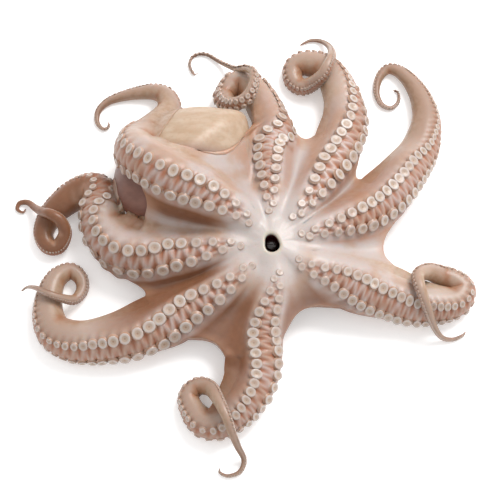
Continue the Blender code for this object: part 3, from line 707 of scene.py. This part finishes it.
def crown_and_arms(arms):
    bm = bmesh.new()
    masks = ("pit_shade", "back", "out", "rim", "brown_and_shade", "shaded_flank", "mouth")
    layers = {name: bm.verts.layers.float.new(name) for name in masks}
    tubes = [arm_tube(bm, arm, layers) for arm in arms]
    tops, bottoms, soft = [], [], []
    for arm, other, rings, others in zip(arms, arms[1:] + arms[:1], tubes, tubes[1:] + tubes[:1]):
        upper, lower, blend = join_web(bm, rings, others, arm, other, layers)
        soft += blend
        right_to_left = [*range(UPPER[-1], SIDES), *range(ORAL_CUTS + 1)]
        tops += [rings[0][corner] for corner in right_to_left] + upper
        bottoms += [rings[0][corner] for corner in range(LOWER[-1], LOWER[1] - 1, -1)] + lower
    for _ in range(SOFTENED):
        bmesh.ops.smooth_vert(bm, verts=soft, factor=0.5, use_axis_x=True, use_axis_y=True, use_axis_z=True)
    lips = [(share, radius * MM, MOUTH_HEIGHT + rise * MM, dark) for share, radius, rise, dark in LIPS]
    gullet = [(1, MOUTH_RADIUS, MOUTH_HEIGHT + rise * MM, dark) for rise, dark in GULLET]
    floor = [(1, radius, MOUTH_HEIGHT - MOUTH_DEPTH, 1) for radius in (MOUTH_RADIUS, MOUTH_RADIUS / 3)]
    close_crown(bm, tops, lips + gullet + floor, layers)
    upper_side = [v for v in bm.verts if v[layers["mouth"]] == 0 and v.co.z > MOUTH_HEIGHT / 2]
    crown = [v for v in upper_side if v.co.xy.length < SOFT_CROWN]
    for _ in range(SOFTENED):
        bmesh.ops.smooth_vert(bm, verts=crown, factor=0.5, use_axis_x=True, use_axis_y=True, use_axis_z=True)
    close_crown(bm, bottoms, [(0.5, CROWN_RADIUS / 2, UNDER_CROWN, 0), (1, CROWN_RADIUS / 3, UNDER_CROWN, 0)], layers)
    return finished("arms_and_crown", bm, flesh_skin())


facts = list(ARMS.values())
arms = [Arm(*three) for three in zip(facts, facts[-1:] + facts[:-1], facts[1:] + facts[:1])]
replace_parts(crown_and_arms(arms), "octopus")

# ---------------------------------------------------------------- suckers
# Two staggered rows on every arm: a pale muscular cup on a short stalk, with a flat rim round a
# shallow hollow. The largest are about 13 mm across, and at the tips they are a millimetre.
#   profile: (radius, height, place on the colour scale), in half widths of the cup
SUCKER_PROFILE = [(1.2, -0.35, 0), (1.07, -0.06, 0.1), (0.99, 0.05, 0.2), (1, 0.14, 0.3), (0.96, 0.21, 0.4),
                  (0.84, 0.25, 0.5), (0.62, 0.23, 0.62), (0.42, 0.17, 0.74), (0.28, 0.15, 0.86), (0.13, 0.04, 1)]
SUCKER_SIDES = 12
WIDEST_SUCKER = 13.6 * MM
OVAL, ROUNDER = 1.55, 0.5  # a sucker's width over the spacing, and how much of that the slim end loses
ROUNDER_FROM, ROUNDER_WITHIN = 0.38, 0.14  # shares of the arm's length
LONGEST = 1.02  # a sucker's length along the arm, over the spacing
SMALLEST_BY_MOUTH, FULL_SIZE_AT = 0.55, 95 * MM
FLATTEST_BY_MOUTH, FULL_HEIGHT_AT = 0.6, 110 * MM
SPLAY = 0.65  # how far a sucker leans with the round of the arm
LEAN, VARIETY = 0.08, (0.92, 1.08)  # how unevenly the suckers stand, and how their sizes differ


def sucker_skin():
    look = Look("sucker skin", Subsurface_Weight=0.2, Subsurface_Radius=(1, 0.4, 0.25), Subsurface_Scale=2 * MM,
                Coat_Weight=0.2, Coat_Roughness=0.18)
    # the darker stop at 0.18, just under the cup's rim, is painted shadow between the rim and the stalk
    colour = look.node("ShaderNodeValToRGB", look.attribute("depth"), stops=[
        (0, tone(206, 166, 142)), (0.18, tone(188, 142, 114)), (0.3, tone(210, 184, 168)), (0.4, tone(217, 203, 195)),
        (0.5, tone(219, 207, 200)), (0.64, tone(214, 196, 182)), (0.74, tone(198, 168, 146)),
        (0.86, tone(206, 182, 162)), (1, tone(166, 122, 88))])
    colour = look.mix(colour, tone(206, 180, 165), look.attribute("own") * 0.4)
    out = look.attribute("out")
    colour = look.mix(colour, tone(186, 158, 141), out.between(0.4, 0.9) * 0.6)
    colour = look.mix(colour, tone(214, 193, 182), (1 - out.between(0.04, 0.2)) * 0.55)
    look.feed("Base Color", colour)
    look.feed("Roughness", 0.28 + 0.2 * look.noise(3 * MM))
    look.bump(look.noise(0.7 * MM, 2), 0.06 * MM)
    return look.material


def plain_cup():
    """One sucker of half width 1, standing on the ground plane."""
    bm = bmesh.new()
    depth = bm.verts.layers.float.new("depth")
    rings = closed_tube(bm, SUCKER_SIDES, len(SUCKER_PROFILE))
    for ring, (radius, height, place) in zip(rings, SUCKER_PROFILE):
        for corner, vert in enumerate(ring):
            turn = 2 * math.pi * corner / SUCKER_SIDES
            vert.co = (radius * math.cos(turn), radius * math.sin(turn), height)
            vert[depth] = place
    bmesh.ops.pointmerge(bm, verts=rings[-1], merge_co=(0, 0, SUCKER_PROFILE[-1][1]))
    mesh = bpy.data.meshes.new("plain_cup")
    bm.to_mesh(mesh)
    bm.free()
    return mesh


def sucker_size(arm, s):
    """A sucker's size along the arm and across it: small by the mouth, and close-set further out."""
    pitch = arm.sucker_pitch(s)
    oval = OVAL - ROUNDER * ease((s / arm.length - ROUNDER_FROM) / ROUNDER_WITHIN)
    across = ((oval * pitch) ** -4 + WIDEST_SUCKER**-4) ** -0.25
    grown = SMALLEST_BY_MOUTH + (1 - SMALLEST_BY_MOUTH) * ease(s / FULL_SIZE_AT)
    return min(across, LONGEST * pitch) * grown, across * grown


def suckers_of(name, arm, number, cup, material):
    chance = np.random.default_rng(number)
    places = [(s, side) for side in (1, -1) for s in arm.suckers(side)]
    bm = bmesh.new()
    for _ in places:
        bm.from_mesh(cup)
    out, own = (bm.verts.layers.float.new(key) for key in ("out", "own"))
    verts = list(bm.verts)
    per_cup = len(verts) // len(places)
    for number, (s, side) in enumerate(places):
        centre, suckers, left = arm.frame(s)
        angle = side * arm.row_angle(s)
        turn = math.radians(angle)
        raised, _ = arm.relief(s, np.array([angle]))
        outward = suckers * math.cos(SPLAY * turn) + left * math.sin(SPLAY * turn)
        foot = arm.skin(s, np.array([angle]), raised)[0]
        level = 1 - arm.flatness(s)
        facing = Vector(outward * (level, level, 1) + chance.normal(0, LEAN, 3)).normalized()
        across = facing.cross(np.cross(left, suckers)).normalized()
        long, wide = sucker_size(arm, s)
        tall = long * (FLATTEST_BY_MOUTH + (1 - FLATTEST_BY_MOUTH) * ease(s / FULL_HEIGHT_AT))
        size = np.array((long, wide, tall)) / 2 * chance.uniform(*VARIETY, 3)
        shape = np.array(Matrix((across.cross(facing), across, facing)).transposed()) * size
        tint = chance.uniform()
        for vert in verts[number * per_cup:(number + 1) * per_cup]:
            vert.co = Vector(foot + shape @ vert.co)
            vert[out], vert[own] = s / arm.length, tint
    finished(f"suckers_at_{name}", bm, material)


cup, sucker_material = plain_cup(), sucker_skin()
for number, (name, arm) in enumerate(zip(ARMS, arms)):
    suckers_of(name, arm, number, cup, sucker_material)

# ---------------------------------------------------------------- beak
# Two jaws of black horn, like a parrot's upside down, sunk in the mouth with their points up.
horn = Look("beak horn", Coat_Weight=0.5, Coat_Roughness=0.1)
horn.feed("Base Color", horn.mix(tone(24, 18, 19), tone(62, 36, 33), horn.noise(2 * MM).between(0.5, 0.8)))
horn.feed("Roughness", 0.15 + 0.25 * horn.noise(1 * MM))
for node in ("beak_upper", "beak_lower"):
    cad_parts[node].data.materials.clear()
    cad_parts[node].data.materials.append(horn.material)

# ---------------------------------------------------------------- table, light and camera
# A white table without edges in a white room, with one large soft lamp high on the right behind
# the animal.
TABLE_REACH = 6
bpy.context.scene.view_settings.view_transform = "Standard"
bm = bmesh.new()
bmesh.ops.create_grid(bm, x_segments=1, y_segments=1, size=TABLE_REACH)
mesh = bpy.data.meshes.new("table")
bm.to_mesh(mesh)
bm.free()
white = Look("white table", Base_Color=(0.93, 0.93, 0.93, 1), Roughness=0.6,
             Emission_Color=(1, 1, 1, 1), Emission_Strength=0.27)
mesh.materials.append(white.material)
table = bpy.data.objects.new("table", mesh)
bpy.context.scene.collection.objects.link(table)

world = bpy.data.worlds.new("white room")
world.use_nodes = True
world.node_tree.nodes["Background"].inputs["Color"].default_value = (1, 1, 1, 1)
world.node_tree.nodes["Background"].inputs["Strength"].default_value = 0.85
bpy.context.scene.world = world

LAMP_PLACE = Vector((0.75, 0.95, 1.5))
LAMP_SIZE, LAMP_WATTS = 0.9, 33
light = bpy.data.lights.new("soft lamp", "AREA")
light.size, light.energy = LAMP_SIZE, LAMP_WATTS
lamp = bpy.data.objects.new("soft lamp", light)
lamp.location = LAMP_PLACE
lamp.rotation_euler = (-LAMP_PLACE).to_track_quat("-Z", "Y").to_euler()
bpy.context.scene.collection.objects.link(lamp)

ELEVATION = math.radians(68)
VIEW_WIDTH = 500 * MM
AIM = (-22, -6.5, 55.4)  # millimetres from the table under the mouth
camera = bpy.data.cameras.new("camera")
camera.lens = 100
shot = bpy.data.objects.new("camera", camera)
distance = VIEW_WIDTH * camera.lens / camera.sensor_width
aim = MOUTH + Vector(AIM) * MM
shot.location = aim + Vector((0, -math.cos(ELEVATION), math.sin(ELEVATION))) * distance
shot.rotation_euler = (math.pi / 2 - ELEVATION, 0, 0)
bpy.context.scene.collection.objects.link(shot)
bpy.context.scene.camera = shot
